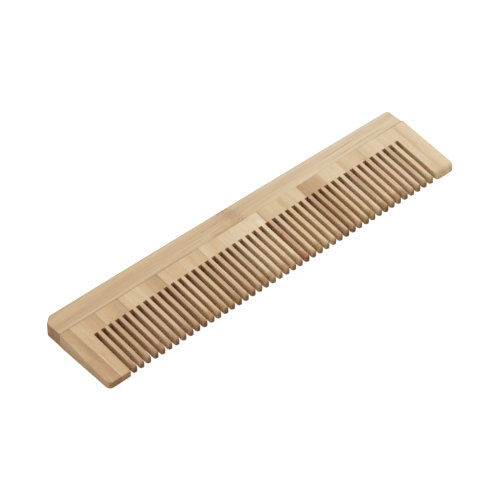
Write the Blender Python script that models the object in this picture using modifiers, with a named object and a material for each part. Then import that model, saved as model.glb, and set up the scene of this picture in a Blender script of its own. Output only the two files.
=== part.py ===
"""Bamboo comb, lying flat: a straight spine rail glued to a board of narrow bamboo strips, with
one row of teeth sawn across the strips between two wide end guards.

Metres, +Z up. The sketch frame has x along the row of teeth and y = 0 at the closed ends of the
slots, with the tips towards -y. The empty comb_origin puts the origin at the comb's bottom centre.
"""

import math

import bmesh
import bpy
from mathutils import Matrix, Vector

MM = 0.001

# Driving dimensions, in millimetres
SLOTS = 46                                # saw cuts, with a tooth between each two
PITCH = 3.5125                            # tooth to tooth
SLOT_WIDTH = 1.50                         # one saw cut
FIRST_WALL = -78.85                       # left wall of the first slot
SLOT_ARC = 0.58                           # the outermost slots close this much nearer the tips
THICKNESS = 6.90                          # of the spine, and of the board where they meet
TIP_THICKNESS = 3.10                      # of the board at the tips
LEFT_END, LEFT_LEAN = -89.30, 0.0119      # left end: x at y = 0, and change of x per y
RIGHT_END, RIGHT_LEAN = 90.20, -0.0104    # right end, the same
SPINE_INSET = 0.45                        # the spine stops this short of the board at the right
GLUE_Y, GLUE_SLOPE = 6.62, -0.0073        # glue line of spine and board: y at x = 0, y per x
BACK_Y, BACK_SLOPE = 16.41, -0.0184       # back edge of the spine, the same
BACK_BOW = 0.25                           # and its outward bow
TIP_Y, TIP_SLOPE = -22.70, -0.0100        # line that the tips end on
TAPER_LENGTH = 5.0                        # last stretch of a tooth, narrowing to its tip
TIP_RADIUS = 0.58                         # round end of a tooth
GLUE_GAP = 0.30                           # clearance between glued pieces
BACK_LEFT_CUT = (2.8, 4.0)                # corner cut off the spine, along x and along y
BACK_LEFT_ROUND = 1.6
BACK_RIGHT_ROUND = 2.6
LEFT_GUARD_ROUND = (2.5, 0.5)             # outer and inner corner at the tip
RIGHT_GUARD_ROUND = (2.9, 1.7)
EDGE_ROUND = 0.5                          # long edges of the spine

# The top of the board rolls over at the tips in two flats: distance of each from the tip line,
# and its fall for each unit of length.
TIP_ROLL = ((2.2, 0.36), (0.8, 1.0))

# Glue lines between the strips: the slots that they run into, and the two in the guards.
GLUE_SLOTS = (2, 5, 8, 11, 14, 17, 19, 22, 25, 28, 31, 34, 37, 40, 43)
GUARD_GLUE_X = (-84.5, 84.3)

# Colours, as red, green, blue. The strips are listed from the left end.
SPINE_COLOUR = (0.62, 0.45, 0.29)
STRIP_COLOURS = (
    (0.50, 0.34, 0.19),
    (0.58, 0.42, 0.26),
    (0.55, 0.38, 0.21),
    (0.64, 0.47, 0.29),
    (0.50, 0.32, 0.17),
    (0.58, 0.41, 0.24),
    (0.60, 0.43, 0.26),
    (0.63, 0.47, 0.30),
    (0.72, 0.57, 0.40),
    (0.75, 0.60, 0.43),
    (0.61, 0.45, 0.28),
    (0.64, 0.48, 0.31),
    (0.45, 0.28, 0.14),
    (0.70, 0.54, 0.36),
    (0.61, 0.44, 0.29),
    (0.68, 0.52, 0.35),
    (0.70, 0.54, 0.37),
    (0.66, 0.49, 0.32),
)
ROUGHNESS = 0.55


def glue_y(x):
    return GLUE_Y + GLUE_SLOPE * x


def back_y(x):
    along = 2 * x / (RIGHT_END - LEFT_END)
    return BACK_Y + BACK_SLOPE * x + BACK_BOW * (0.5 - along**2)


def tip_y(x):
    return TIP_Y + TIP_SLOPE * x


def slot_y(x):
    return -SLOT_ARC * (2 * x / (PITCH * SLOTS)) ** 2


def left_x(y):
    return LEFT_END + LEFT_LEAN * y


def right_x(y):
    return RIGHT_END + RIGHT_LEAN * y


def slot_walls(k):
    """x of the left and the right wall of slot k, counted from 0 at the left."""
    left = FIRST_WALL + k * PITCH
    return left, left + SLOT_WIDTH


def top_height(y):
    """Height of the board's top at x = 0."""
    return THICKNESS - (THICKNESS - TIP_THICKNESS) * (GLUE_Y - y) / (GLUE_Y - TIP_Y)


def rounded(corner, before, after, radius, steps):
    """Points of the arc that rounds a corner of an outline, from the side of before to that of after."""
    corner, before, after = Vector(corner), Vector(before), Vector(after)
    back, on = (before - corner).normalized(), (after - corner).normalized()
    half = back.angle(on) / 2
    centre = corner + (back + on).normalized() * radius / math.sin(half)
    start = corner + back * radius / math.tan(half) - centre
    end = corner + on * radius / math.tan(half) - centre
    turn = start.angle_signed(end)
    return [tuple(centre + Matrix.Rotation(-turn * i / steps, 2) @ start) for i in range(steps + 1)]


def tooth_tip(left, right):
    """Tip of the tooth between the walls at left and right, from right to left: it narrows over
    TAPER_LENGTH and ends round."""
    middle, full = (left + right) / 2, (right - left) / 2
    end = tip_y(middle)
    flank = []
    for i in range(4):
        t = i / 3
        half = full - (full - TIP_RADIUS) * t**1.6
        flank.append((half, end + TAPER_LENGTH - (TAPER_LENGTH - TIP_RADIUS) * t))
    arc = []
    for i in range(1, 6):
        a = math.pi * i / 6
        arc.append((TIP_RADIUS * math.cos(a), end + TIP_RADIUS * (1 - math.sin(a))))
    mirrored = [(-half, y) for half, y in reversed(flank)]
    return [(middle + across, y) for across, y in flank + arc + mirrored]


def lower_edge():
    """Lower edge of the whole board from its right end to its left end: the right guard's tip, the
    slots and teeth, and the left guard's tip."""
    last_wall, first_wall = slot_walls(SLOTS - 1)[1], slot_walls(0)[0]

    outer, inner = (right_x(TIP_Y), tip_y(RIGHT_END)), (last_wall, tip_y(last_wall))
    points = rounded(outer, (right_x(0), 0), inner, RIGHT_GUARD_ROUND[0], 6)
    points += rounded(inner, outer, (last_wall, 0), RIGHT_GUARD_ROUND[1], 5)

    for k in range(SLOTS - 1, -1, -1):
        left, right = slot_walls(k)
        points += [(right, slot_y(right)), (left, slot_y(left))]
        if k:
            points += tooth_tip(slot_walls(k - 1)[1], left)

    outer, inner = (left_x(TIP_Y), tip_y(LEFT_END)), (first_wall, tip_y(first_wall))
    points += rounded(inner, (first_wall, 0), outer, LEFT_GUARD_ROUND[1], 3)
    points += rounded(outer, inner, (left_x(0), 0), LEFT_GUARD_ROUND[0], 6)
    return points


def crossing(points, x):
    """The point where a line of points passes x."""
    for (x0, y0), (x1, y1) in zip(points, points[1:]):
        if min(x0, x1) <= x <= max(x0, x1) and x0 != x1:
            return x, y0 + (y1 - y0) * (x - x0) / (x1 - x0)
    raise ValueError(f"nothing at x = {x}")


def strip_outline(edge, left, right):
    """Outline of the strip of the board between the glue lines at left and right, clockwise from its
    top left. None is an end of the comb."""
    gap = GLUE_GAP / 2
    top = lambda x: (x, glue_y(x) - gap)
    low = -math.inf if left is None else left + gap
    high = math.inf if right is None else right - gap
    points = [top(left_x(GLUE_Y)) if left is None else top(low)]
    points.append(top(right_x(GLUE_Y)) if right is None else top(high))
    if right is not None:
        points.append(crossing(edge, high))
    points += [p for p in edge if low < p[0] < high]
    if left is not None:
        points.append(crossing(edge, low))
    return points


def spine_outline():
    """Outline of the spine rail, clockwise from the left end of its glue line."""
    gap = GLUE_GAP / 2
    left, right = left_x(GLUE_Y), right_x(GLUE_Y) - SPINE_INSET
    start, foot = (left, glue_y(left) + gap), (right, glue_y(right) + gap)
    back_left = (left_x(BACK_Y), back_y(LEFT_END))
    back_right = (right_x(BACK_Y) - SPINE_INSET, back_y(RIGHT_END))
    cut_x, cut_y = BACK_LEFT_CUT
    low = (back_left[0], back_left[1] - cut_y)
    high = (back_left[0] + cut_x, back_y(back_left[0] + cut_x))

    points = [start]
    points += rounded(low, start, high, BACK_LEFT_ROUND, 3)
    points += rounded(high, low, (-60, back_y(-60)), BACK_LEFT_ROUND, 3)
    points += [(x, back_y(x)) for x in range(-60, 61, 30)]
    points += rounded(back_right, (60, back_y(60)), foot, BACK_RIGHT_ROUND, 6)
    points.append(foot)
    return points


def bamboo(name, colour):
    material = bpy.data.materials.new(name)
    material.use_nodes = True
    shader = material.node_tree.nodes["Principled BSDF"]
    shader.inputs["Base Color"].default_value = (*colour, 1)
    shader.inputs["Roughness"].default_value = ROUGHNESS
    shader.inputs["Metallic"].default_value = 0
    return material


def raised(name, points, material):
    """A solid of THICKNESS on z = 0 with a flat outline."""
    curve = bpy.data.curves.new(name + "_outline", "CURVE")
    curve.dimensions = "2D"
    curve.fill_mode = "BOTH"
    curve.extrude = THICKNESS * MM / 2
    spline = curve.splines.new("POLY")
    spline.points.add(len(points) - 1)
    for point, (x, y) in zip(spline.points, points):
        point.co = (x * MM, y * MM, 0, 1)
    spline.use_cyclic_u = True
    guide = bpy.data.objects.new(name + "_outline", curve)
    guide.location.z = THICKNESS * MM / 2
    comb.objects.link(guide)
    bpy.context.view_layer.update()

    graph = bpy.context.evaluated_depsgraph_get()
    mesh = bpy.data.meshes.new_from_object(guide.evaluated_get(graph))
    mesh.name = name
    shape = bmesh.new()
    shape.from_mesh(mesh)
    bmesh.ops.remove_doubles(shape, verts=shape.verts, dist=1e-6)
    bmesh.ops.recalc_face_normals(shape, faces=shape.faces)
    shape.to_mesh(mesh)
    shape.free()
    mesh.materials.clear()
    mesh.materials.append(material)

    piece = bpy.data.objects.new(name, mesh)
    piece.matrix_world = guide.matrix_world.copy()
    comb.objects.link(piece)
    bpy.data.objects.remove(guide)
    return piece


def block_above(name, point, along, fall):
    """A cutter whose lower face holds point and the line along, and drops by fall for each unit
    towards the tips. It reaches 49 mm towards the tips and 1 mm back from the line."""
    along = Vector(along).normalized()
    to_tips = Vector((along.y, -along.x, -fall)).normalized()
    up = (-along).cross(to_tips)
    mesh = bpy.data.meshes.new(name)
    shape = bmesh.new()
    bmesh.ops.create_cube(shape, size=1)
    bmesh.ops.scale(shape, vec=(0.26, 0.05, 0.02), verts=shape.verts)
    bmesh.ops.translate(shape, vec=(0, 0.024, 0.01), verts=shape.verts)
    shape.to_mesh(mesh)
    shape.free()
    tool = bpy.data.objects.new(name, mesh)
    turn = Matrix((-along, to_tips, up)).transposed().to_4x4()
    tool.matrix_world = Matrix.Translation(Vector(point) * MM) @ turn
    tool.hide_render = True
    tool.display_type = "WIRE"
    cutters.objects.link(tool)
    return tool


def round_free_edges(piece):
    """Rounds the top and bottom edges of the spine, except along its glue line."""
    mesh = piece.data
    weights = mesh.attributes.new("bevel_weight_edge", "FLOAT", "EDGE")
    sides = [f for f in mesh.polygons if abs(f.normal.z) < 0.5]
    for edge in mesh.edges:
        a, b = (mesh.vertices[i].co / MM for i in edge.vertices)
        level = abs(a.z - b.z) < 0.01
        glued = max(a.y - glue_y(a.x), b.y - glue_y(b.x)) < GLUE_GAP
        on_side = any(edge.key in f.edge_keys for f in sides)
        weights.data[edge.index].value = 1.0 if level and on_side and not glued else 0.0
    bevel = piece.modifiers.new("rounded_edges", "BEVEL")
    bevel.limit_method = "WEIGHT"
    bevel.width = EDGE_ROUND * MM
    bevel.segments = 2


for old in list(bpy.data.objects):
    bpy.data.objects.remove(old, do_unlink=True)

comb = bpy.data.collections.new("bamboo_comb")
cutters = bpy.data.collections.new("cutters")
bpy.context.scene.collection.children.link(comb)
bpy.context.scene.collection.children.link(cutters)

edge = lower_edge()
glue_lines = [None, GUARD_GLUE_X[0]]
glue_lines += [sum(slot_walls(k)) / 2 for k in GLUE_SLOTS]
glue_lines += [GUARD_GLUE_X[1], None]
strips = [strip_outline(edge, left, right) for left, right in zip(glue_lines, glue_lines[1:])]
rail = spine_outline()

corners = rail + [p for strip in strips for p in strip]
middle_x = (min(x for x, _ in corners) + max(x for x, _ in corners)) / 2
middle_y = (min(y for _, y in corners) + max(y for _, y in corners)) / 2

origin = bpy.data.objects.new("comb_origin", None)
origin.location = (-middle_x * MM, -middle_y * MM, 0)
comb.objects.link(origin)

(roll_1, fall_1), (roll_2, fall_2) = TIP_ROLL
roll_top = top_height(TIP_Y + roll_1)
tools = [
    block_above("board_slope", (0, GLUE_Y, THICKNESS), (1, GLUE_SLOPE, 0),
                (THICKNESS - TIP_THICKNESS) / (GLUE_Y - TIP_Y)),
    block_above("tip_roll_1", (0, TIP_Y + roll_1, roll_top), (1, TIP_SLOPE, 0), fall_1),
    block_above("tip_roll_2", (0, TIP_Y + roll_2, roll_top - fall_1 * (roll_1 - roll_2)),
                (1, TIP_SLOPE, 0), fall_2),
]

spine = raised("spine", rail, bamboo("bamboo_spine", SPINE_COLOUR))
round_free_edges(spine)
pieces = [spine]
for number, (outline, colour) in enumerate(zip(strips, STRIP_COLOURS), start=1):
    name = f"strip_{number:02d}"
    strip = raised(name, outline, bamboo("bamboo_" + name, colour))
    for tool in tools:
        cut = strip.modifiers.new(tool.name, "BOOLEAN")
        cut.operation = "DIFFERENCE"
        cut.solver = "EXACT"
        cut.object = tool
    pieces.append(strip)

for thing in pieces + tools:
    thing.parent = origin
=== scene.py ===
"""Looks of the bamboo comb: fine meshes for the spine and for the strips of the toothed board,
bamboo materials, a pale floor, soft light and the photograph's camera."""
import math
import random

import bmesh
import bpy
import numpy as np
from mathutils import Matrix, Vector


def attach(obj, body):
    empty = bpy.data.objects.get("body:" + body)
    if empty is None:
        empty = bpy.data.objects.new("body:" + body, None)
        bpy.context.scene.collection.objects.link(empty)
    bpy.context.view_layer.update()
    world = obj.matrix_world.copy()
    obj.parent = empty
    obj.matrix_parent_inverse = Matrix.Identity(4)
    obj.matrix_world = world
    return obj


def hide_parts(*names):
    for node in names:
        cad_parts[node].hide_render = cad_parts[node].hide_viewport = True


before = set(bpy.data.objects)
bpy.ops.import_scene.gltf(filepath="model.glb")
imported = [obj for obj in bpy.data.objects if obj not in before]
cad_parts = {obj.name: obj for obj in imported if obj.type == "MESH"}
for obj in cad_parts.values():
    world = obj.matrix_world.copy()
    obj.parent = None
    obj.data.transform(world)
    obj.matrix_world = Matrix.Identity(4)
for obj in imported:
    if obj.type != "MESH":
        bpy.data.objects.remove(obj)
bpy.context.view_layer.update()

# ---------------------------------------------------------------------------------------------
# The comb's sizes, in millimetres, in the sketch frame of the CAD model: x along the row of
# teeth, y = 0 at the closed ends of the slots, tips towards -y. SKETCH_ORIGIN is where the row
# frame's origin lies in it.
# ---------------------------------------------------------------------------------------------
MM = 0.001
SKETCH_ORIGIN = (0.4337, -2.8465)
SLOTS, PITCH, SLOT_WIDTH, FIRST_WALL = 46, 3.5125, 1.67, -78.86
SLOT_ARC = 0.58
THICKNESS, TIP_THICKNESS = 6.90, 3.10
LEFT_END, LEFT_LEAN = -89.30, 0.0119
RIGHT_END, RIGHT_LEAN = 90.42, -0.0104
SPINE_INSET = 0.45
GLUE_Y, GLUE_SLOPE = 6.62, -0.0073
BACK_Y, BACK_SLOPE, BACK_BOW = 16.27, -0.0184, 0.25
BACK_LEFT_CUT, BACK_LEFT_ROUND, BACK_RIGHT_ROUND = (3.3, 2.8), 1.2, 1.3
TIP_Y, TIP_SLOPE, TIP_ARC = -22.70, -0.0115, 0.42
# from above, a tooth swells a little over its last stretch and ends in a half oval
SWELL_LENGTH, SWOLLEN_HALF, NOSE_LENGTH = 5.5, 1.12, 1.30
LONGER = {"tooth": 0.10, "left": -0.30, "right": 0.05}     # how much further each kind reaches
EDGE_ROUNDS = 0.36, 0.27   # left and right long edges of the teeth, and inner edges of the guards
# near the tip the edges are rounder: over what length, the rounding's width and depth at the tip,
# and the share of that which a tooth's right edge, less worn than its left one, takes
TIP_ROUNDS = {"tooth": (8.0, 2.30, 2.10), "left": (2.5, 0.60, 0.60), "right": (3.2, 1.40, 1.30)}
LESS_WORN = 0.25
UNDER_ROUND = 0.15         # long edges of the underside
# how the ends are rolled over: reach and drop of the top, then of the underside
ROLLS = {"tooth": ((2.0, 1.35), (0.7, 0.42)), "left": ((0.7, 0.65), (0.6, 0.55)),
         "right": ((2.4, 1.60), (0.9, 0.60))}
THINNER = 7.0, 0.42        # how far from its tip a tooth starts to thin from above, and by how much
OUTER_ROUND = 0.45         # edges of the comb's outline

rng = random.Random(20)


def glue_y(x):
    return GLUE_Y + GLUE_SLOPE * x


def back_y(x):
    return BACK_Y + BACK_SLOPE * x + BACK_BOW * (0.5 - (2 * x / (RIGHT_END - LEFT_END)) ** 2)


def tip_y(x):
    return TIP_Y + TIP_SLOPE * x - TIP_ARC * (x / RIGHT_END) ** 2


def slot_y(x):
    return -SLOT_ARC * (2 * x / (PITCH * SLOTS)) ** 2


def left_x(y):
    return LEFT_END + LEFT_LEAN * y


def right_x(y):
    return RIGHT_END + RIGHT_LEAN * y


def top_z(x, y):
    """Top of the board: it falls from the glue line to the tips."""
    fall = (THICKNESS - TIP_THICKNESS) / (GLUE_Y - TIP_Y)
    return THICKNESS - fall * max(glue_y(x) - y, 0)


def to_row(p):
    """A sketch point in millimetres as a row frame point in metres."""
    return ((p[0] - SKETCH_ORIGIN[0]) * MM, (p[1] - SKETCH_ORIGIN[1]) * MM, p[2] * MM)


def quarter(distance, reach, depth):
    """How far a rounded edge has fallen at a distance from its end: depth at 0, nothing past reach."""
    return depth * (1 - math.sqrt(max(1 - (max(reach - distance, 0) / reach) ** 2, 0)))


def smooth_by_angle(mesh, degrees):
    mesh.shade_smooth()
    mesh.set_sharp_from_angle(angle=math.radians(degrees))


def closed_mesh(name, verts, faces):
    mesh = bpy.data.meshes.new(name)
    mesh.from_pydata(verts, [], faces)
    mesh.validate()
    shape = bmesh.new()
    shape.from_mesh(mesh)
    bmesh.ops.remove_doubles(shape, verts=shape.verts, dist=1e-7)
    bmesh.ops.recalc_face_normals(shape, faces=shape.faces)
    bad = sum(1 for e in shape.edges if len(e.link_faces) != 2)
    print(f"{name}: {len(shape.verts)} vertices, {bad} edges not shared by two faces")
    shape.to_mesh(mesh)
    shape.free()
    return mesh


# ---------------------------------------------------------------------------------------------
# The toothed board as one closed mesh of fingers (guard, 45 teeth, guard) growing out of a root
# ---------------------------------------------------------------------------------------------
class Finger:
    """A guard or a tooth: its sides, its tip and the rounding of its long edges."""

    def __init__(self, left, right, kind):
        self.left, self.right, self.kind = left, right, kind
        self.middle = (left + right) / 2
        self.root = slot_y(right if kind == "left" else left if kind == "right" else self.middle)
        self.tip = tip_y(self.middle) + LONGER[kind]
        self.lean = self.lift = 0.0
        if kind == "tooth":
            self.tip += rng.uniform(-0.10, 0.10)
            self.swollen = SWOLLEN_HALF + rng.uniform(-0.05, 0.05)
            self.nose = NOSE_LENGTH + rng.uniform(-0.15, 0.15)
            self.lean = rng.uniform(-0.07, 0.07)
            self.lift = rng.uniform(-0.05, 0.05)

    def sides(self, y):
        """x of the two sides at y."""
        d = max(y - self.tip, 0)
        if self.kind == "tooth":
            half = full = (self.right - self.left) / 2
            if d < SWELL_LENGTH:
                t = min((SWELL_LENGTH - d) / (SWELL_LENGTH - self.nose), 1)
                half = full - (full - self.swollen) * t**1.6
            if d < self.nose:
                half = self.swollen * math.sqrt(max(1 - (1 - d / self.nose) ** 2, 0))
            shift = self.lean * min(max(self.root - y, 0) / (self.root - self.tip), 1)
            return self.middle + shift - half, self.middle + shift + half
        if self.kind == "left":
            return left_x(y) + quarter(d, 2.5, 2.5), self.right - quarter(d, 0.6, 0.6)
        return self.left + quarter(d, 1.9, 1.9), right_x(y) - quarter(d, 2.4, 2.4)

    def rows(self):
        """y of the cross-sections, from the root to the tip."""
        near = [0.0, 0.12, 0.3, 0.6]
        if self.kind == "tooth":
            far = [6.3, 5.4, 4.6, 3.8, 3.1, 2.5, 2.0, 1.7]
            far += [self.nose * k for k in (1.0, 0.86, 0.72, 0.58, 0.45, 0.33, 0.22, 0.13, 0.06, 0.015)]
        else:
            far = [4.0, 3.3, 2.9, 2.5, 2.1, 1.7, 1.4, 1.1, 0.85, 0.65, 0.48, 0.34, 0.22, 0.12, 0.05, 0.0]
        middle = list(np.linspace(near[-1], self.root - self.tip - far[0], 9)[1:-1])
        return [self.root - d for d in near + middle] + [self.tip + d for d in far]

    def heights(self, x, y):
        """Underside and top at a point, the rolled tip included."""
        d = max(y - self.tip, 0)
        lift = self.lift * min(max(self.root - y, 0) / 6, 1)
        top, low = ROLLS[self.kind]
        thinner = THINNER[1] * max(1 - d / THINNER[0], 0) ** 1.2 if self.kind == "tooth" else 0
        return quarter(d, *low), top_z(x, y) + lift - thinner - quarter(d, *top)

    def edges(self, y):
        """(depth, width) of the rounding of the left and of the right edge at y. Along a saw cut it
        runs out at the closed end, and along the comb's own ends it goes on."""
        left, right = self.sides(y)
        grown = min(max(self.root - y, 0) / 0.45, 1) ** 0.5
        length, tip_wide, tip_deep = TIP_ROUNDS[self.kind]
        near = max(1 - max(y - self.tip, 0) / length, 0) ** 1.5
        found = []
        for outer, inner in zip((self.kind == "left", self.kind == "right"), EDGE_ROUNDS):
            r = OUTER_ROUND if outer else inner
            worn = LESS_WORN * near if self.kind == "tooth" and inner == EDGE_ROUNDS[1] else near
            deep, wide = r + (tip_deep - r) * worn, r + (tip_wide - r) * worn
            most = 0.48 if self.kind != "tooth" else 0.76 if inner == EDGE_ROUNDS[0] else 0.23
            found.append((deep if outer else deep * grown, min(wide, most * (right - left))))
        return found

    def section(self, x, y, deep, share):
        """Underside and top at a point of the section at y, share being how far down its rounded
        edge, deep in all, the point lies."""
        floor, ceiling = self.heights(x, y)
        tall = ceiling - floor
        return floor + share * min(UNDER_ROUND, deep, 0.3 * tall), ceiling - share * min(deep, 0.68 * tall)


ARC, ACROSS = 5, {"tooth": 3, "left": 14, "right": 14}


def across(f, y):
    """(x, depth of the edge, share) across the top of a finger at y, with both rounded edges."""
    left, right = f.sides(y)
    (deep_l, wide_l), (deep_r, wide_r) = f.edges(y)
    row = []
    for i in range(ARC + 1):
        a = math.pi / 2 * i / ARC
        row.append((left + wide_l * (1 - math.cos(a)), deep_l, 1 - math.sin(a)))
    n = ACROSS[f.kind]
    for i in range(1, n):
        row.append((left + wide_l + (right - wide_r - left - wide_l) * i / n, 0, 0))
    for i in range(ARC + 1):
        a = math.pi / 2 * (ARC - i) / ARC
        row.append((right - wide_r * (1 - math.cos(a)), deep_r, 1 - math.sin(a)))
    return row


def board_mesh():
    walls = []
    for k in range(SLOTS):
        shift = rng.uniform(-0.05, 0.05)
        left = FIRST_WALL + k * PITCH + shift
        walls.append((left, left + SLOT_WIDTH + rng.uniform(-0.05, 0.05)))
    fingers = [Finger(LEFT_END, walls[0][0], "left")]
    fingers += [Finger(a[1], b[0], "tooth") for a, b in zip(walls, walls[1:])]
    fingers.append(Finger(walls[-1][1], RIGHT_END, "right"))

    verts, faces, sketch = [], [], []

    def add(x, y, z):
        verts.append(to_row((x, y, z)))
        sketch.append((x, y))
        return len(verts) - 1

    first_rows = []
    for f in fingers:
        loops = []
        for y in f.rows():
            row = across(f, y)
            top, low = [], []
            for x, deep, share in row:
                floor, ceiling = f.section(x, y, deep, share)
                top.append(add(x, y, ceiling))
                low.append(add(x, y, floor))
            loops.append((top, low))
        for (ta, la), (tb, lb) in zip(loops, loops[1:]):
            for i in range(len(ta) - 1):
                faces.append((ta[i], tb[i], tb[i + 1], ta[i + 1]))
                faces.append((la[i], la[i + 1], lb[i + 1], lb[i]))
            faces.append((ta[0], la[0], lb[0], tb[0]))
            faces.append((ta[-1], tb[-1], lb[-1], la[-1]))
        top, low = loops[-1]
        for i in range(len(top) - 1):
            faces.append((top[i], low[i], low[i + 1], top[i + 1]))
        first_rows.append(loops[0])

    # The root: columns over fingers and slots alike, from the slots' closed ends to the glue line.
    steps, between = 5, 3
    columns = []
    for n, f in enumerate(fingers):
        columns += [(f, i, t, l) for i, (t, l) in enumerate(zip(*first_rows[n]))]
        if n + 1 < len(fingers):
            g = fingers[n + 1]
            xa, xb = f.sides(f.root)[1], g.sides(g.root)[0]
            closed = [columns[-1]]
            for i in range(1, between):
                t = i / between
                x, y = xa + (xb - xa) * t, f.root + (g.root - f.root) * t
                columns.append((None, 0, add(x, y, top_z(x, y)), add(x, y, 0)))
                closed.append(columns[-1])
            closed.append((g, 0, first_rows[n + 1][0][0], first_rows[n + 1][1][0]))
            for a, b in zip(closed, closed[1:]):
                faces.append((a[2], a[3], b[3], b[2]))
    grid = [[(top, low) for _, _, top, low in columns]]
    for s in range(1, steps + 1):
        line = []
        for f, i, top, _ in columns:
            x0, y0 = sketch[top]
            y = y0 + (glue_y(x0) - y0) * s / steps
            x, deep, share = (x0, 0, 0) if f is None else across(f, y)[i]
            line.append((add(x, y, top_z(x, y) - deep * share), add(x, y, min(UNDER_ROUND, deep) * share)))
        grid.append(line)
    for a, b in zip(grid, grid[1:]):
        for i in range(len(a) - 1):
            faces.append((a[i][0], a[i + 1][0], b[i + 1][0], b[i][0]))
            faces.append((a[i][1], b[i][1], b[i + 1][1], a[i + 1][1]))
        faces.append((a[0][0], b[0][0], b[0][1], a[0][1]))
        faces.append((a[-1][0], a[-1][1], b[-1][1], b[-1][0]))
    for a, b in zip(grid[-1], grid[-1][1:]):
        faces.append((a[0], b[0], b[1], a[1]))
    return closed_mesh("board", verts, faces), fingers


def slice_of(mesh, name, planes):
    """The part of a mesh on the kept side of each plane, closed again. A plane is (point, direction
    to cut away)."""
    shape = bmesh.new()
    shape.from_mesh(mesh)
    for point, away in planes:
        geometry = list(shape.verts) + list(shape.edges) + list(shape.faces)
        cut = bmesh.ops.bisect_plane(
            shape, geom=geometry, dist=1e-8, plane_co=point, plane_no=away, clear_outer=True
        )
        rim = [e for e in cut["geom_cut"] if isinstance(e, bmesh.types.BMEdge) and e.is_valid]
        rim = [e for e in rim if len(e.link_faces) == 1]
        bmesh.ops.holes_fill(shape, edges=rim, sides=0)
    bmesh.ops.recalc_face_normals(shape, faces=shape.faces)
    bad = sum(1 for e in shape.edges if len(e.link_faces) != 2)
    if bad:
        print(f"{name}: {bad} edges not shared by two faces")
    piece = bpy.data.meshes.new(name)
    shape.to_mesh(piece)
    shape.free()
    return piece


# ---------------------------------------------------------------------------------------------
# The spine rail
# ---------------------------------------------------------------------------------------------
def rounded(corner, before, after, radius, steps):
    corner, before, after = Vector(corner), Vector(before), Vector(after)
    back, on = (before - corner).normalized(), (after - corner).normalized()
    half = back.angle(on) / 2
    centre = corner + (back + on).normalized() * radius / math.sin(half)
    start = corner + back * radius / math.tan(half) - centre
    turn = start.angle_signed(corner + on * radius / math.tan(half) - centre)
    return [tuple(centre + Matrix.Rotation(-turn * i / steps, 2) @ start) for i in range(steps + 1)]


def spine_mesh():
    left, right = left_x(GLUE_Y), right_x(GLUE_Y) - SPINE_INSET
    start, foot = (left, glue_y(left) + 0.01), (right, glue_y(right) + 0.01)
    back_left = (left_x(BACK_Y), back_y(LEFT_END))
    back_right = (right_x(BACK_Y) - SPINE_INSET, back_y(RIGHT_END))
    cut_x, cut_y = BACK_LEFT_CUT
    low = (back_left[0], back_left[1] - cut_y)
    high = (back_left[0] + cut_x, back_y(back_left[0] + cut_x))
    points = [start]
    points += rounded(low, start, high, BACK_LEFT_ROUND, 6)
    points += rounded(high, low, (-60, back_y(-60)), BACK_LEFT_ROUND, 6)
    points += [(x, back_y(x)) for x in range(-80, 81, 10)]
    points += rounded(back_right, (80, back_y(80)), foot, BACK_RIGHT_ROUND, 12)
    points.append(foot)

    shape = bmesh.new()
    base = [shape.verts.new(to_row((x, y, 0))) for x, y in points]
    face = shape.faces.new(base)
    raised = bmesh.ops.extrude_face_region(shape, geom=[face])["geom"]
    top = [v for v in raised if isinstance(v, bmesh.types.BMVert)]
    bmesh.ops.translate(shape, vec=(0, 0, THICKNESS * MM), verts=top)
    bmesh.ops.recalc_face_normals(shape, faces=shape.faces)
    free = []
    for e in shape.edges:
        a, b = (v.co / MM + Vector((*SKETCH_ORIGIN, 0)) for v in e.verts)
        on_glue = max(a.y - glue_y(a.x), b.y - glue_y(b.x)) < 0.1
        if abs(a.z - b.z) < 0.01 and not on_glue:
            free.append(e)
    bmesh.ops.bevel(shape, geom=free, offset=0.6 * MM, offset_type="OFFSET", segments=5,
                    profile=0.5, affect="EDGES", clamp_overlap=True)
    bad = sum(1 for e in shape.edges if len(e.link_faces) != 2)
    print(f"spine: {len(shape.verts)} vertices, {bad} edges not shared by two faces")
    mesh = bpy.data.meshes.new("spine_rail")
    shape.to_mesh(mesh)
    shape.free()
    return mesh


# ---------------------------------------------------------------------------------------------
# Node helpers
# ---------------------------------------------------------------------------------------------
def linear(*rgb):
    """A colour given as 0-255 sRGB, as linear light."""
    return tuple(c / 255 / 12.92 if c < 11 else ((c / 255 + 0.055) / 1.055) ** 2.4 for c in rgb)


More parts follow.
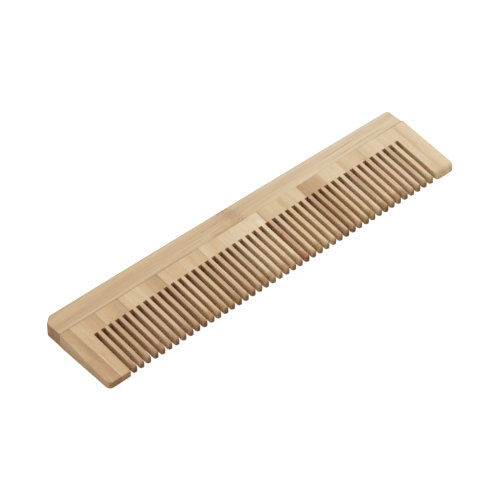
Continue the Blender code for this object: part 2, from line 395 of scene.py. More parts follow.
class Tree:
    """A node tree with short calls for the nodes that the bamboo is made of."""

    def __init__(self, tree):
        self.tree = tree

    def node(self, kind, **settings):
        node = self.tree.nodes.new(kind)
        for name, value in settings.items():
            setattr(node, name, value)
        return node

    def feed(self, socket, value):
        if isinstance(value, bpy.types.NodeSocket):
            self.tree.links.new(value, socket)
        elif value is not None:
            socket.default_value = value

    def math(self, operation, a, b=None, c=None, clamp=False):
        node = self.node("ShaderNodeMath", operation=operation, use_clamp=clamp)
        for socket, value in zip(node.inputs, (a, b, c)):
            self.feed(socket, value)
        return node.outputs[0]

    def add(self, a, b):
        return self.math("ADD", a, b)

    def sub(self, a, b):
        return self.math("SUBTRACT", a, b)

    def mul(self, a, b):
        return self.math("MULTIPLY", a, b)

    def total(self, *values):
        out = values[0]
        for value in values[1:]:
            out = self.add(out, value)
        return out

    def step(self, x, low, high):
        """0 at low and 1 at high, smooth between."""
        node = self.node("ShaderNodeMapRange", interpolation_type="SMOOTHSTEP")
        for socket, value in zip(node.inputs, (x, low, high, 0.0, 1.0)):
            self.feed(socket, value)
        return node.outputs[0]

    def band(self, x, centre, half, soft):
        """1 within half of centre, and 0 outside, with a soft edge."""
        away = self.math("ABSOLUTE", self.sub(x, centre))
        return self.step(away, half + soft, max(half - soft, 0.0))

    def vector(self, x, y, z):
        node = self.node("ShaderNodeCombineXYZ")
        for socket, value in zip(node.inputs, (x, y, z)):
            self.feed(socket, value)
        return node.outputs[0]

    def noise(self, vector, detail=2.0, roughness=0.5):
        node = self.node("ShaderNodeTexNoise")
        self.feed(node.inputs["Vector"], vector)
        node.inputs["Scale"].default_value = 1.0
        node.inputs["Detail"].default_value = detail
        node.inputs["Roughness"].default_value = roughness
        return node.outputs[0]

    def chance(self, w):
        node = self.node("ShaderNodeTexWhiteNoise", noise_dimensions="1D")
        self.feed(node.inputs["W"], w)
        return node.outputs[0]

    def mix(self, factor, a, b, blend="MIX"):
        node = self.node("ShaderNodeMix", data_type="RGBA", blend_type=blend, clamp_factor=True)
        self.feed(node.inputs[0], factor)
        for socket, value in zip((node.inputs[6], node.inputs[7]), (a, b)):
            self.feed(socket, value if isinstance(value, bpy.types.NodeSocket) else (*value, 1.0))
        return node.outputs[2]

    def ramp(self, x, stops):
        """Colour or value stops as (position, value)."""
        node = self.node("ShaderNodeValToRGB")
        ramp = node.color_ramp
        while len(ramp.elements) < len(stops):
            ramp.elements.new(1.0)
        for element, (position, value) in zip(ramp.elements, stops):
            element.position = position
            element.color = (*value, 1.0) if isinstance(value, tuple) else (value, value, value, 1.0)
        self.feed(node.inputs[0], x)
        return node.outputs[0]


def new_group(name, inputs, outputs):
    group = bpy.data.node_groups.new(name, "ShaderNodeTree")
    for entry in inputs:
        group.interface.new_socket(entry, in_out="INPUT", socket_type="NodeSocketFloat")
    for entry in outputs:
        group.interface.new_socket(entry, in_out="OUTPUT", socket_type="NodeSocketFloat")
    t = Tree(group)
    return group, t, t.node("NodeGroupInput").outputs, t.node("NodeGroupOutput").inputs


# ---------------------------------------------------------------------------------------------
# Bamboo. Tones run from 0, the palest strip, to 1, the brownest.
# ---------------------------------------------------------------------------------------------
LIGHT = 1.00               # how much light falls on the comb's top: a tone's colour is what it shows
TONES = ((0.0, (226, 206, 177)), (0.20, (219, 197, 165)), (0.50, (210, 181, 143)), (0.84, (194, 159, 121)),
         (1.0, (184, 147, 109)))
SHINE = 0.012              # what the surface's own gloss adds to every colour
PEACH = (228, 199, 175)    # freshly sawn tops of the teeth
ORANGE = (196, 138, 88)    # stained fibres
END_GRAIN = (0.78, 0.64, 0.53)


def shown(*rgb):
    return tuple(max(c / LIGHT - SHINE, 0) for c in linear(*rgb))


def place_group():
    """Where a point is, in sketch millimetres, and which way its surface faces."""
    group, t, _, out = new_group("comb_place", [], ["X", "Y", "Z", "Facing X", "Facing Y", "Facing Z"])
    where = t.node("ShaderNodeTexCoord")
    split = t.node("ShaderNodeSeparateXYZ")
    t.feed(split.inputs[0], where.outputs["Object"])
    for i, shift in enumerate((*SKETCH_ORIGIN, 0.0)):
        t.feed(out[i], t.math("MULTIPLY_ADD", split.outputs[i], 1000.0, shift))
    facing = t.node("ShaderNodeSeparateXYZ")
    t.feed(facing.inputs[0], where.outputs["Normal"])
    for i in range(3):
        t.feed(out[3 + i], facing.outputs[i])
    return group


def grain_group():
    """The grain of a bamboo strip as a solid: streaks and fibre bundles that run along it, so that a cut across it
    shows dots. Broad and Fine are about 0 on average, Fibre is 0 to 1, and Relief feeds the bump."""
    group, t, given, out = new_group(
        "bamboo_grain", ["Along", "Across", "Deep", "Seed"], ["Broad", "Fine", "Fibre", "Relief"]
    )
    along, across, deep, seed = given[0], given[1], given[2], given[3]
    shift = t.mul(seed, 17.31)
    wander = t.sub(t.noise(t.vector(shift, t.mul(along, 0.045), t.mul(deep, 0.05)), 1.0), 0.5)
    x = t.add(across, t.mul(wander, 1.6))
    broad = t.noise(t.vector(t.add(t.mul(x, 0.55), shift), t.mul(along, 0.020), t.mul(deep, 0.5)), 2.0)
    fine = t.noise(t.vector(t.add(t.mul(x, 2.6), shift), t.mul(along, 0.045), t.mul(deep, 2.6)), 3.0, 0.6)
    lines = t.noise(t.vector(t.add(t.mul(x, 3.4), t.mul(shift, 1.7)), t.mul(along, 0.07), t.mul(deep, 3.0)), 1.0)
    flecks = t.noise(t.vector(t.add(t.mul(x, 5.5), t.mul(shift, 2.3)), t.mul(along, 0.55), t.mul(deep, 5.0)), 1.0)
    fibre = t.add(t.mul(t.step(lines, 0.56, 0.70), 0.75), t.mul(t.step(flecks, 0.60, 0.74), 0.45))
    t.feed(out[0], t.sub(broad, 0.5))
    t.feed(out[1], t.sub(fine, 0.5))
    t.feed(out[2], t.math("MINIMUM", fibre, 1.0))
    relief = t.sub(t.mul(fine, 0.6), t.mul(fibre, 0.5))
    pores = t.noise(t.vector(t.mul(x, 11.0), t.mul(along, 1.2), t.mul(deep, 11.0)), 2.0)
    t.feed(out[3], t.add(relief, t.mul(pores, 0.35)))
    return group


PLACE, GRAIN = place_group(), grain_group()


def bamboo(name, seed, grain_axis, tone_of, marks, ends=END_GRAIN):
    """A bamboo material. tone_of(t, x, y) gives the socket of the tone, and marks(t, x, y, z, colour)
    lays what is special to the piece over its colour."""
    material = bpy.data.materials.new(name)
    material.use_nodes = True
    material.node_tree.nodes.clear()
    t = Tree(material.node_tree)
    place = t.node("ShaderNodeGroup", node_tree=PLACE).outputs
    x, y, z = place[0], place[1], place[2]
    grain = t.node("ShaderNodeGroup", node_tree=GRAIN)
    along, across = (x, y) if grain_axis == "x" else (y, x)
    for socket, value in zip(grain.inputs, (along, across, z, float(seed))):
        t.feed(socket, value)
    broad, fine, fibre, relief = grain.outputs

    tone = t.total(tone_of(t, x, y), t.mul(broad, 0.55), t.mul(fine, 0.42))
    colour = t.ramp(tone, [(p, shown(*rgb)) for p, rgb in TONES])
    # short stretches of the fibres are a little rosier or greener than the rest
    patch = t.noise(t.vector(t.mul(along, 0.24), t.mul(across, 0.95), t.mul(z, 0.95)), 2.0)
    tint = t.mix(t.step(patch, 0.36, 0.64), (1.030, 0.985, 0.955), (0.970, 1.010, 1.030))
    colour = t.mix(1.0, colour, tint, "MULTIPLY")
    colour = t.mix(t.mul(fibre, 0.30), colour, (0.74, 0.64, 0.52), "MULTIPLY")
    colour = marks(t, place, colour, grain.outputs)

    # cut ends of the fibres: browner, with the bundles as dark dots
    facing = t.math("ABSOLUTE", place[3] if grain_axis == "x" else place[4])
    cut = t.step(facing, 0.35, 0.92)
    colour = t.mix(cut, colour, ends, "MULTIPLY")
    colour = t.mix(t.mul(cut, t.mul(fibre, 0.5)), colour, (0.55, 0.45, 0.36), "MULTIPLY")

    shader = t.node("ShaderNodeBsdfPrincipled")
    t.feed(shader.inputs["Base Color"], colour)
    rough = t.math("MULTIPLY_ADD", fine, 0.22, 0.56)
    t.feed(shader.inputs["Roughness"], t.math("MULTIPLY_ADD", cut, 0.18, rough, clamp=True))
    shader.inputs["IOR"].default_value = 1.46
    shader.inputs["Specular IOR Level"].default_value = 0.42
    bump = t.node("ShaderNodeBump")
    bump.inputs["Strength"].default_value = 0.35
    bump.inputs["Distance"].default_value = 0.00006
    t.feed(bump.inputs["Height"], relief)
    t.feed(shader.inputs["Normal"], bump.outputs[0])
    t.feed(t.node("ShaderNodeOutputMaterial").inputs[0], shader.outputs[0])
    return material


# The strips of the board, left to right: tone at the left side, in the middle and at the right
# side, where the glue joint at the right side lies at the spine and how far it leans over the
# teeth's length, and how dark that joint is.
# Over the board the tones grow paler towards the right end: partly the strips' own tone and partly painted light.
STRIPS = (
    # left, middle, right, joint x, lean, joint dark
    (0.70, 0.70, 0.90, -84.50, 1.10, 0.10),
    (0.50, 0.60, 0.80, -72.16, 0.00, 0.20),
    (0.60, 0.65, 0.75, -60.97, 0.00, 0.50),
    (0.50, 0.35, 0.40, -50.48, 0.00, 0.15),
    (0.50, 0.65, 0.95, -41.15, 0.00, 0.20),
    (0.40, 0.45, 0.50, -30.71, 0.00, 0.15),
    (0.30, 0.45, 0.50, -20.27, 0.00, 0.45),
    (0.20, 0.45, 0.45, -10.90, 0.00, 0.15),
    (0.25, 0.20, 0.10, -0.30, 0.00, 0.06),
    (0.15, 0.10, 0.00, 10.14, 0.00, 0.75),
    (0.60, 0.35, 0.35, 20.75, 0.00, 0.10),
    (0.45, 0.30, 0.15, 31.30, 0.00, 0.10),
    (0.95, 0.85, 0.55, 42.75, 0.00, 0.10),
    (0.20, 0.15, 0.05, 52.99, 0.00, 0.10),
    (0.50, 0.20, 0.40, 64.13, 0.00, 0.35),
    (0.40, 0.20, 0.00, 74.46, 0.00, 0.10),
    (0.25, 0.10, 0.20, 84.30, 0.00, 0.15),
    (0.35, 0.10, 0.00, None, 0.00, 0.00),
)

# Stains and grain bands of single strips: strip, x, half width, y from, y to, lean, what, strength
STREAKS = (
    (1, -86.0, 1.3, 8.0, -9.0, 0.6, "dark", 0.50),
    (1, -86.6, 0.9, -6.0, -21.0, 0.8, "dark", 0.20),
    (1, -86.0, 6.0, -9.0, -30.0, 0.0, "brown", 0.30),
    (2, -80.0, 6.0, -9.0, -30.0, 0.0, "brown", 0.30),
    (2, -83.2, 0.30, -9.0, -23.0, 0.2, "pale", 0.35),
    (2, -80.6, 0.9, 6.0, -24.0, 0.0, "pale", 0.12),
    (2, -77.0, 0.5, 7.0, 0.0, 0.0, "orange", 0.28),
    (2, -73.8, 0.9, 7.0, -4.0, 0.0, "orange", 0.10),
    (3, -70.6, 0.8, 7.0, 1.0, 0.0, "pale", 0.15),
    (3, -69.0, 0.3, 7.0, 1.0, 0.0, "dark", 0.25),
    (3, -64.0, 2.2, 7.0, -24.0, 0.0, "brown", 0.20),
    (4, -58.6, 0.3, 7.0, 2.0, 0.0, "dark", 0.25),
    (5, -46.5, 1.6, 7.0, 0.5, 0.0, "brown", 0.15),
    (5, -44.6, 1.1, 1.6, -5.0, 0.0, "orange", 0.28),
    (6, -35.0, 1.2, 7.0, 0.0, 0.0, "orange", 0.12),
    (7, -26.0, 0.8, 7.0, 0.0, 0.0, "orange", 0.15),
    (7, -20.8, 0.4, 7.0, 0.0, 0.0, "dark", 0.25),
    (8, -19.0, 1.2, 6.0, -24.0, 0.0, "peach", 0.40),
    (8, -13.0, 1.2, 4.0, 0.0, 0.0, "peach", 0.20),
    (10, 4.0, 1.2, 7.0, 5.0, 0.0, "dark", 0.25),
    (10, 7.85, 1.05, 3.0, -24.0, 0.0, "pale", 0.90),
    (11, 10.75, 0.45, -0.5, -9.5, 0.0, "orange", 0.40),
    (11, 11.35, 1.00, -5.0, -24.0, 0.0, "orange", 0.26),
    (11, 10.9, 0.42, -7.2, -8.5, 0.0, "spot", 0.85),
    (9, -2.5, 1.0, -17.5, -25.0, 0.0, "brown", 0.35),
    (10, 1.0, 1.0, -17.0, -25.0, 0.0, "orange", 0.35),
    (10, 4.5, 1.0, -16.5, -25.0, 0.0, "orange", 0.55),
    (10, 4.5, 0.9, -1.5, -18.0, 0.0, "orange", 0.16),
    (10, 7.4, 0.7, -18.0, -25.0, 0.0, "orange", 0.45),
    (11, 11.5, 1.2, -16.0, -25.0, 0.0, "orange", 0.30),
    (12, 21.8, 0.6, 7.0, 0.0, 0.0, "dark", 0.28),
    (12, 25.9, 0.5, 7.0, 0.0, 0.0, "dark", 0.10),
    (13, 33.6, 2.0, 7.0, 0.0, 0.0, "brown", 0.15),
    (13, 36.4, 0.3, 7.0, 0.0, 0.0, "pale", 0.14),
    (15, 54.0, 0.7, 7.0, -24.0, 0.0, "dark", 0.12),
    (15, 63.1, 0.7, 7.0, 0.0, 0.0, "dark", 0.28),
    (15, 63.2, 0.35, 0.5, -9.0, 0.0, "plum", 0.70),
    (15, 64.0, 0.5, -0.5, -8.0, 0.0, "yellow", 0.60),
    (16, 64.5, 0.7, -0.5, -8.0, 0.0, "yellow", 0.60),
    (18, 84.8, 0.9, 8.0, -9.0, 0.0, "dark", 0.25),
    (17, 83.3, 1.3, -17.5, -27.0, 0.0, "orange", 0.20),
    (18, 88.2, 0.45, -23.3, -25.0, 0.0, "spot", 0.60),
)
STAIN = {"dark": (0.80, 0.76, 0.70), "brown": (0.82, 0.72, 0.58), "spot": (0.50, 0.40, 0.30),
         "plum": (0.66, 0.52, 0.54)}


def strip_material(number):
    left, middle, right, joint, lean, dark = STRIPS[number - 1]
    before = STRIPS[number - 2] if number > 1 else None
    x_left = before[3] if before else LEFT_END
    x_right = joint if joint is not None else RIGHT_END

    def tone_of(t, x, y):
        part = t.math("DIVIDE", t.sub(x, x_left), x_right - x_left)
        return t.ramp(part, [(0.0, left), (0.45, middle), (0.78, 0.4 * middle + 0.6 * right), (1.0, right)])

    def marks(t, place, colour, grain):
        x, y, z = place[0], place[1], place[2]
        broad, fine, fibre = grain[0], grain[1], grain[2]
        colour = t.mix(1.0, colour, (1.0, 1.0, 0.97), "MULTIPLY")
        for strip, at, half, start, end, lean_by, what, strength in STREAKS:
            if strip != number:
                continue
            run = t.math("DIVIDE", t.sub(start, y), start - end)
            centre = t.add(at, t.add(t.mul(run, lean_by), t.mul(broad, 0.8 * min(half, 1.0))))
            mask = t.step(t.math("ABSOLUTE", t.sub(x, centre)), half * 1.8, half * 0.3)
            fade = 0.15 * (start - end)
            mask = t.mul(mask, t.step(y, end - fade, end + fade))
            mask = t.mul(mask, t.step(y, start + 0.6, start - 0.6))
            mask = t.mul(mask, strength)
            if what in STAIN:
                colour = t.mix(mask, colour, STAIN[what], "MULTIPLY")
            else:
                tint = {"pale": (233, 214, 188), "orange": ORANGE, "peach": PEACH, "yellow": (206, 178, 112)}[what]
                colour = t.mix(mask, colour, shown(*tint))
        if number == 1:
            side = t.step(place[3], -0.5, -0.9)
            colour = t.mix(side, colour, (1.0, 0.965, 0.90), "MULTIPLY")
        # sawn teeth: peachy tops, and each its own shade; walls of the cuts browner, with painted shade darkest at
        # the closed ends and painted bounce light warming them towards the underside
        slot = t.math("DIVIDE", t.sub(x, FIRST_WALL + SLOT_WIDTH / 2), PITCH)
        tooth = t.math("FLOOR", slot)
        own, hue, worn = (t.chance(t.add(tooth, k)) for k in (0.0, 100.3, 200.7))
        inside = t.mul(t.step(slot, 0.0, 0.02), t.step(slot, SLOTS - 1, SLOTS - 1.02))
        reach = t.mul(t.step(slot, -0.40, -0.36), t.step(slot, SLOTS - 0.60, SLOTS - 0.64))
        upright = t.mul(t.step(t.math("ABSOLUTE", place[5]), 0.80, 0.45), reach)
        sawn = t.mul(t.step(y, 0.6, -1.4), t.math("MAXIMUM", inside, upright))
        colour = t.mix(t.mul(sawn, 0.32), colour, shown(*PEACH))
        colour = t.mix(t.mul(sawn, t.step(own, 0.30, 1.05)), colour, (0.82, 0.76, 0.70), "MULTIPLY")
        colour = t.mix(t.mul(sawn, t.step(hue, 0.45, 1.0)), colour, (1.0, 0.98, 0.87), "MULTIPLY")
        colour = t.mix(t.mul(sawn, t.step(hue, 0.45, 0.0)), colour, (1.0, 0.965, 0.97), "MULTIPLY")
        flank = t.mul(t.mul(t.step(place[5], 0.98, 0.80), reach), t.step(y, 0.0, -3.0))
        flank = t.mul(flank, t.band(x, -32.0, 22.0, 16.0))
        colour = t.mix(flank, colour, (0.94, 0.90, 0.83), "MULTIPLY")
        # painted shade: the walls of the cuts darken towards the closed ends, where the light is shut out
        closed = t.mul(t.step(t.math("ABSOLUTE", place[3]), 0.6, 0.9), t.step(y, -5.5, 0.0))
        colour = t.mix(t.mul(upright, closed), colour, (0.74, 0.58, 0.38), "MULTIPLY")
        # painted bounce light: the walls are painted warmer towards the underside, the colour of light bounced
        # between them
        colour = t.mix(t.mul(upright, t.step(z, 5.0, 0.8)), colour, (1.07, 1.01, 0.84), "MULTIPLY")
        # tips darkened by sanding and handling, with painted shade on their slopes that face left
        bow = t.mul(t.mul(x, x), TIP_ARC / RIGHT_END**2)
        tip = t.sub(t.add(t.math("MULTIPLY_ADD", x, -TIP_SLOPE, y), bow), TIP_Y + LONGER["tooth"])
        tips = t.mul(t.step(tip, 5.0, 1.0), inside)
        # painted shade: the tips darken most on their slopes that face left, away from the light
        slope = t.step(place[3], -0.12, -0.65)
        tips = t.mul(tips, t.math("MULTIPLY_ADD", upright, 0.05, t.math("MULTIPLY_ADD", slope, 0.75, 0.30)))
        paler = t.mul(t.step(x, -25.0, 25.0), t.step(place[5], 0.86, 0.97))
        sanded = t.mul(t.mul(t.step(tip, 8.0, 2.5), inside), paler)
        colour = t.mix(t.mul(sanded, 0.58), colour, shown(246, 220, 190))
        tips = t.mul(tips, t.math("MULTIPLY_ADD", paler, -0.60, 1.0))
        colour = t.mix(t.mul(tips, t.math("MULTIPLY_ADD", worn, 0.60, 0.02)), colour, (0.72, 0.58, 0.40), "MULTIPLY")
        scorch = t.mul(t.mul(t.step(t.chance(t.add(tooth, 300.9)), 0.60, 0.90), inside), t.band(tip, 2.4, 0.8, 1.6))
        colour = t.mix(t.mul(scorch, 0.55), colour, shown(178, 122, 72))
        dull = t.mul(t.mul(t.step(t.chance(t.add(tooth, 400.3)), 0.55, 0.85), inside), t.step(tip, 6.5, 2.0))
        colour = t.mix(t.mul(dull, 0.50), colour, (0.80, 0.74, 0.72), "MULTIPLY")
        very = t.mul(t.step(tip, 1.25, 0.2), inside)
        colour = t.mix(t.mul(very, 0.85), colour, (0.47, 0.48, 0.52), "MULTIPLY")
        # the faces of the two rightmost strips that face the tips are darker towards the bottom
        if number > 16:
            rim = t.mul(t.step(place[4], -0.45, -0.90), t.step(z, 2.0, 0.2))
            colour = t.mix(rim, colour, (0.74, 0.68, 0.60), "MULTIPLY")
        # glue in the joints to the neighbours and to the spine
        for at, slope, strength in (
            (x_left if before else None, before[4] if before else 0.0, before[5] if before else 0.0),
            (joint, lean, dark),
        ):
            if at is None:
                continue
            centre = t.add(at, t.mul(t.math("DIVIDE", t.sub(GLUE_Y, y), GLUE_Y - TIP_Y), slope))
            line = t.step(t.math("ABSOLUTE", t.sub(x, centre)), 0.34, 0.06)
            colour = t.mix(t.mul(line, strength), colour, (0.60, 0.50, 0.40), "MULTIPLY")
        edge = t.sub(t.math("MULTIPLY_ADD", x, GLUE_SLOPE, GLUE_Y), y)
        glue = t.mul(t.step(edge, 0.50, 0.05), glue_strength(t, x))
        return t.mix(glue, colour, (0.62, 0.53, 0.44), "MULTIPLY")

    # the end of the left guard is darkened with painted shade, and that of the right guard lightened with painted
    # light
    ends = (0.72, 0.55, 0.42) if number < 3 else (1.15, 1.05, 0.90) if number > 16 else END_GRAIN
    return bamboo(f"bamboo_strip_{number:02d}_look", number * 1.37, "y", tone_of, marks, ends)


def glue_strength(t, x):
    """The joint to the spine shows clearly in some stretches and hardly in others."""
    part = t.math("DIVIDE", t.sub(x, LEFT_END), RIGHT_END - LEFT_END)
    stops = [(0.0, 0.85), (0.36, 0.80), (0.39, 0.30), (0.42, 0.30), (0.44, 0.85), (0.50, 0.80),
             (0.53, 0.15), (0.70, 0.10), (0.86, 0.30), (0.92, 0.75), (1.0, 0.90)]
    return t.mul(t.ramp(part, stops), 0.70)


# Dark or pale lines along the spine: y, half width, x from, x to, slope, strength, what
SPINE_LINES = (
    (10.75, 0.25, -86.0, -58.0, 0.000, 0.28, "dark"),
    (10.40, 0.20, -60.0, -34.0, 0.000, 0.18, "dark"),
    (11.90, 0.18, -90.0, -62.0, 0.000, 0.20, "dark"),
    (13.30, 0.15, -84.0, -46.0, 0.000, 0.20, "dark"),
    (9.05, 0.18, -88.0, -22.0, 0.004, 0.25, "dark"),
    (8.00, 0.30, -88.0, -30.0, 0.000, 0.16, "pale"),
    (14.20, 0.60, -56.0, -38.0, 0.000, 0.15, "orange"),
    (12.90, 0.60, -59.0, -53.0, 0.000, 0.22, "orange"),
    (14.60, 0.60, -88.0, -76.0, 0.000, 0.25, "gold"),
    (12.60, 0.50, -74.0, -62.0, 0.000, 0.18, "gold"),
    (14.60, 0.60, -36.0, -27.0, 0.000, 0.22, "gold"),
    (12.20, 0.28, -13.9, -5.2, 0.000, 0.70, "dark"),
    (9.20, 0.28, -27.0, -15.0, 0.000, 0.50, "dark"),
    (9.20, 0.45, -15.6, -13.2, 0.000, 0.40, "orange"),
    (9.15, 0.25, -12.0, -4.0, 0.000, 0.45, "dark"),
    (9.30, 0.45, -4.8, -1.6, 0.000, 0.45, "orange"),
    (7.35, 0.35, -12.0, -0.5, 0.000, 0.50, "dark"),
    (8.20, 0.70, -11.0, 1.0, 0.000, 0.30, "brown"),
    (15.90, 0.50, -3.0, 1.6, 0.000, 0.35, "dark"),
    (10.70, 0.25, 4.0, 34.0, 0.000, 0.22, "dark"),
    (9.10, 0.35, 6.0, 24.0, 0.000, 0.18, "dark"),
    (13.20, 0.20, 8.0, 46.0, 0.000, 0.16, "dark"),
    (11.10, 0.25, 51.0, 66.0, -0.004, 0.45, "dark"),
    (8.20, 0.28, 53.0, 80.0, 0.000, 0.65, "dark"),
    (9.30, 0.60, 62.0, 80.0, 0.000, 0.25, "peach"),
    (12.60, 0.60, 66.0, 76.0, 0.000, 0.22, "orange"),
    (7.20, 0.22, 68.0, 90.0, -0.004, 0.30, "dark"),
    # painted sheen: a pale streak along the right back of the rail
    (14.20, 1.60, 58.0, 97.0, 0.000, 0.20, "pale"),
)
SPINE_TINTS = {"orange": (212, 164, 116), "brown": (186, 150, 108), "gold": (206, 178, 126),
               "peach": (224, 194, 166), "pale": (226, 211, 190)}


def spine_material():
    def tone_of(t, x, y):
        # the tone grows paler towards the right end: partly the rail's own tone and partly painted light
        part = t.math("DIVIDE", t.sub(x, LEFT_END), RIGHT_END - LEFT_END)
        stops = [(0.0, 0.74), (0.20, 0.66), (0.36, 0.60), (0.47, 0.62), (0.55, 0.56), (0.62, 0.44),
                 (0.72, 0.35), (0.90, 0.29), (1.0, 0.26)]
        across = t.add(t.mul(t.step(y, 9.6, 11.2), 0.13), t.mul(t.step(y, 12.2, 13.6), -0.13))
        return t.add(across, t.ramp(part, stops))

    def marks(t, place, colour, grain):
        x, y, z = place[0], place[1], place[2]
        broad, fine, fibre = grain[0], grain[1], grain[2]
        # the rail is greyer than the strips of the board, and a painted sheen makes it greyest at its right back
        # edge
        upper, part = t.step(y, 9.5, 13.0), t.step(x, 75.0, -75.0)
        at_left = t.mix(upper, (0.95, 1.01, 1.05), (0.93, 0.97, 0.97))
        at_right_with_sheen = t.mix(upper, (0.96, 1.0, 1.05), (0.93, 1.0, 1.14))
        colour = t.mix(1.0, colour, t.mix(part, at_right_with_sheen, at_left), "MULTIPLY")
        drift = t.mul(t.sub(t.noise(t.vector(t.mul(x, 0.05), 3.3, 0.0), 2.0), 0.5), 0.5)
        for at, half, start, end, slope, strength, what in SPINE_LINES:
            centre = t.add(t.math("MULTIPLY_ADD", x, slope, at - slope * start), drift)
            mask = t.step(t.math("ABSOLUTE", t.sub(y, centre)), half * 1.6, half * 0.4)
            fade = 0.10 * (end - start)
            mask = t.mul(mask, t.step(x, start - fade, start + fade))
            mask = t.mul(mask, t.step(x, end + fade, end - fade))
            broken = t.step(t.noise(t.vector(t.mul(x, 0.33), at, 0.0), 2.0), 0.30, 0.62)
            mask = t.mul(mask, t.mul(t.math("MULTIPLY_ADD", broken, 0.6, 0.4), strength))
            if what == "dark":
                colour = t.mix(mask, colour, (0.66, 0.59, 0.52), "MULTIPLY")
            else:
                colour = t.mix(mask, colour, shown(*SPINE_TINTS[what]))
        # the culm's node: a mottled band across the rail where the fibres cross
        ragged = t.mul(t.sub(t.noise(t.vector(t.mul(x, 0.5), t.mul(y, 0.8), 0.0), 3.0), 0.5), 5.0)
        heart = t.add(t.add(x, ragged), t.mul(t.sub(y, 11.0), 0.22))
        node = t.band(heart, 1.9, 2.7, 1.8)
        halo = t.band(heart, 0.2, 5.2, 3.0)
        colour = t.mix(t.mul(halo, 0.44), colour, (0.93, 0.84, 0.76), "MULTIPLY")
        dashes = t.noise(t.vector(t.mul(x, 1.30), t.mul(t.add(y, t.mul(x, 0.25)), 2.6), 1.0), 2.0)
        dashes = t.mul(t.step(dashes, 0.47, 0.57), node)
        colour = t.mix(t.mul(node, 0.28), colour, (0.90, 0.80, 0.70), "MULTIPLY")
        colour = t.mix(t.mul(dashes, 0.68), colour, (0.70, 0.58, 0.46), "MULTIPLY")
        # painted shade: the back edge is darker
        rim = t.step(place[4], 0.10, 0.55)
        colour = t.mix(rim, colour, (0.70, 0.72, 0.70), "MULTIPLY")
        edge = t.sub(y, t.math("MULTIPLY_ADD", x, GLUE_SLOPE, GLUE_Y))
        glue = t.mul(t.step(edge, 0.50, 0.05), glue_strength(t, x))
        return t.mix(glue, colour, (0.62, 0.53, 0.44), "MULTIPLY")

    return bamboo("bamboo_spine_look", 5.9, "x", tone_of, marks)


# ---------------------------------------------------------------------------------------------
# The pieces
# ---------------------------------------------------------------------------------------------
def put(name, mesh, material, node):
    obj = bpy.data.objects.new(name, mesh)
    bpy.context.scene.collection.objects.link(obj)
    mesh.materials.clear()
    mesh.materials.append(material)
    smooth_by_angle(mesh, 32)
    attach(obj, "root")
    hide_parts(node)
    return obj


GAP = 0.004                # half the width of the glue film between two strips
board, fingers = board_mesh()
for number, (_, _, _, joint, lean, _) in enumerate(STRIPS, 1):
    cuts = []
    if joint is not None:
        way = Vector((1, lean / (GLUE_Y - TIP_Y), 0)).normalized()
        cuts.append((to_row((joint - GAP, GLUE_Y, 0)), way))
    if number > 1:
        _, _, _, joint, lean, _ = STRIPS[number - 2]
        way = -Vector((1, lean / (GLUE_Y - TIP_Y), 0)).normalized()
        cuts.append((to_row((joint + GAP, GLUE_Y, 0)), way))
    name = f"strip_{number:02d}"
    piece = slice_of(board, f"{name}_grain", cuts)
    put(f"{name}_bamboo", piece, strip_material(number), name)
bpy.data.meshes.remove(board)
put("spine_bamboo", spine_mesh(), spine_material(), "spine")


# ---------------------------------------------------------------------------------------------
# Floor, light and camera
# ---------------------------------------------------------------------------------------------
def plain(name, albedo, glow=0.0):
    material = bpy.data.materials.new(name)
    material.use_nodes = True
    shader = material.node_tree.nodes["Principled BSDF"]
    shader.inputs["Base Color"].default_value = (albedo, albedo, albedo, 1)
    shader.inputs["Roughness"].default_value = 0.9
    shader.inputs["Specular IOR Level"].default_value = 0.0
    shader.inputs["Emission Color"].default_value = (1, 1, 1, 1)
    shader.inputs["Emission Strength"].default_value = glow
    return material


def bowl(name, radius, rise, z, material):
    """A flat round floor whose rim curves up into a wall."""
    rings = [(0.35 * radius, 0), (0.6 * radius, 0), (0.75 * radius, 0)]
    rings += [(0.75 * radius + 0.25 * radius * math.sin(a), rise * (1 - math.cos(a)))
              for a in np.linspace(0.15, math.pi / 2, 10)]
    sides = 64
    verts, faces = [(0, 0, z)], []
    for r, h in rings:
        verts += [(r * math.cos(2 * math.pi * k / sides), r * math.sin(2 * math.pi * k / sides), z + h)
                  for k in range(sides)]
    for k in range(sides):
        faces.append((0, 1 + k, 1 + (k + 1) % sides))
        for i in range(len(rings) - 1):
            a, b = 1 + i * sides, 1 + (i + 1) * sides
            faces.append((a + k, b + k, b + (k + 1) % sides, a + (k + 1) % sides))
    mesh = bpy.data.meshes.new(name)
    mesh.from_pydata(verts, [], faces)
    mesh.shade_smooth()
    mesh.materials.append(material)
    obj = bpy.data.objects.new(name, mesh)
    bpy.context.scene.collection.objects.link(obj)
    return obj


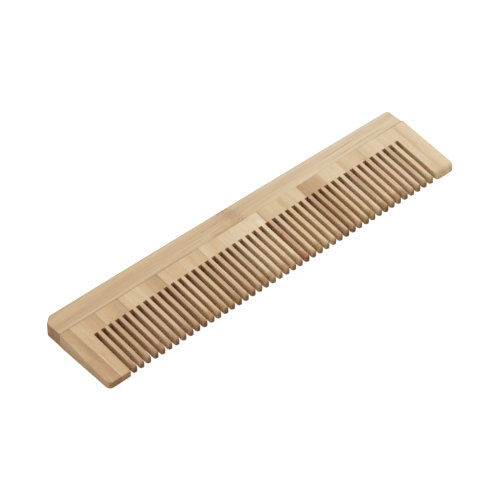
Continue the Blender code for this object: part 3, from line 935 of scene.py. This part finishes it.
# The floor gives its bounce to the comb, and the white sweep over it is what the camera sees.
floor = bowl("floor", 2.0, 0.0, -0.0004, plain("floor_paper", 0.80))
floor.visible_camera = False
sweep = bowl("sweep", 4.0, 3.0, -0.0001, plain("sweep_paper", 0.20, 0.95))
sweep.visible_diffuse = sweep.visible_glossy = sweep.visible_shadow = False


def area(name, place, target, size, power):
    light = bpy.data.lights.new(name, "AREA")
    light.shape = "DISK"
    light.size = size
    light.energy = power
    obj = bpy.data.objects.new(name, light)
    bpy.context.scene.collection.objects.link(obj)
    obj.location = place
    obj.rotation_euler = (Vector(target) - Vector(place)).to_track_quat("-Z", "Y").to_euler()
    return obj


area("key", (0.45, 2.00, 2.20), (0, 0, 0), 1.3, 58.0)

world = bpy.data.worlds.new("studio")
world.use_nodes = True
world.node_tree.nodes["Background"].inputs["Color"].default_value = (1, 1, 1, 1)
world.node_tree.nodes["Background"].inputs["Strength"].default_value = 0.60
bpy.context.scene.world = world
bpy.context.scene.view_settings.view_transform = "Standard"


def photo_camera():
    """The photograph's camera, fitted to the row of slots: its focal length in pixels of the 500
    pixel frame, its distance, height, turn and roll, and where the slot row's middle falls."""
    focal, distance, roll, off_x, off_y = 2817.4, 1101.8, math.radians(-0.05), 0.852, -1.863
    elevation, turn = math.radians(45.23), math.radians(42.05)
    scale = PITCH / 3.5
    right = Vector((math.cos(turn), -math.sin(turn), 0))
    ahead = Vector((math.sin(turn), math.cos(turn), 0))
    forward = ahead * math.cos(elevation) - Vector((0, 0, math.sin(elevation)))
    up = ahead * math.sin(elevation) + Vector((0, 0, math.cos(elevation)))
    right, up = (right * math.cos(roll) + up * math.sin(roll),
                 up * math.cos(roll) - right * math.sin(roll))
    place = (right * off_x + up * off_y - forward * distance) * scale
    camera = bpy.data.cameras.new("camera")
    camera.sensor_width = 36
    camera.lens = focal / 500 * 36
    camera.clip_start, camera.clip_end = 0.01, 30
    obj = bpy.data.objects.new("camera", camera)
    bpy.context.scene.collection.objects.link(obj)
    turned = Matrix((right, up, -forward)).transposed().to_4x4()
    obj.matrix_world = Matrix.Translation(to_row(place)) @ turned
    bpy.context.scene.camera = obj


photo_camera()
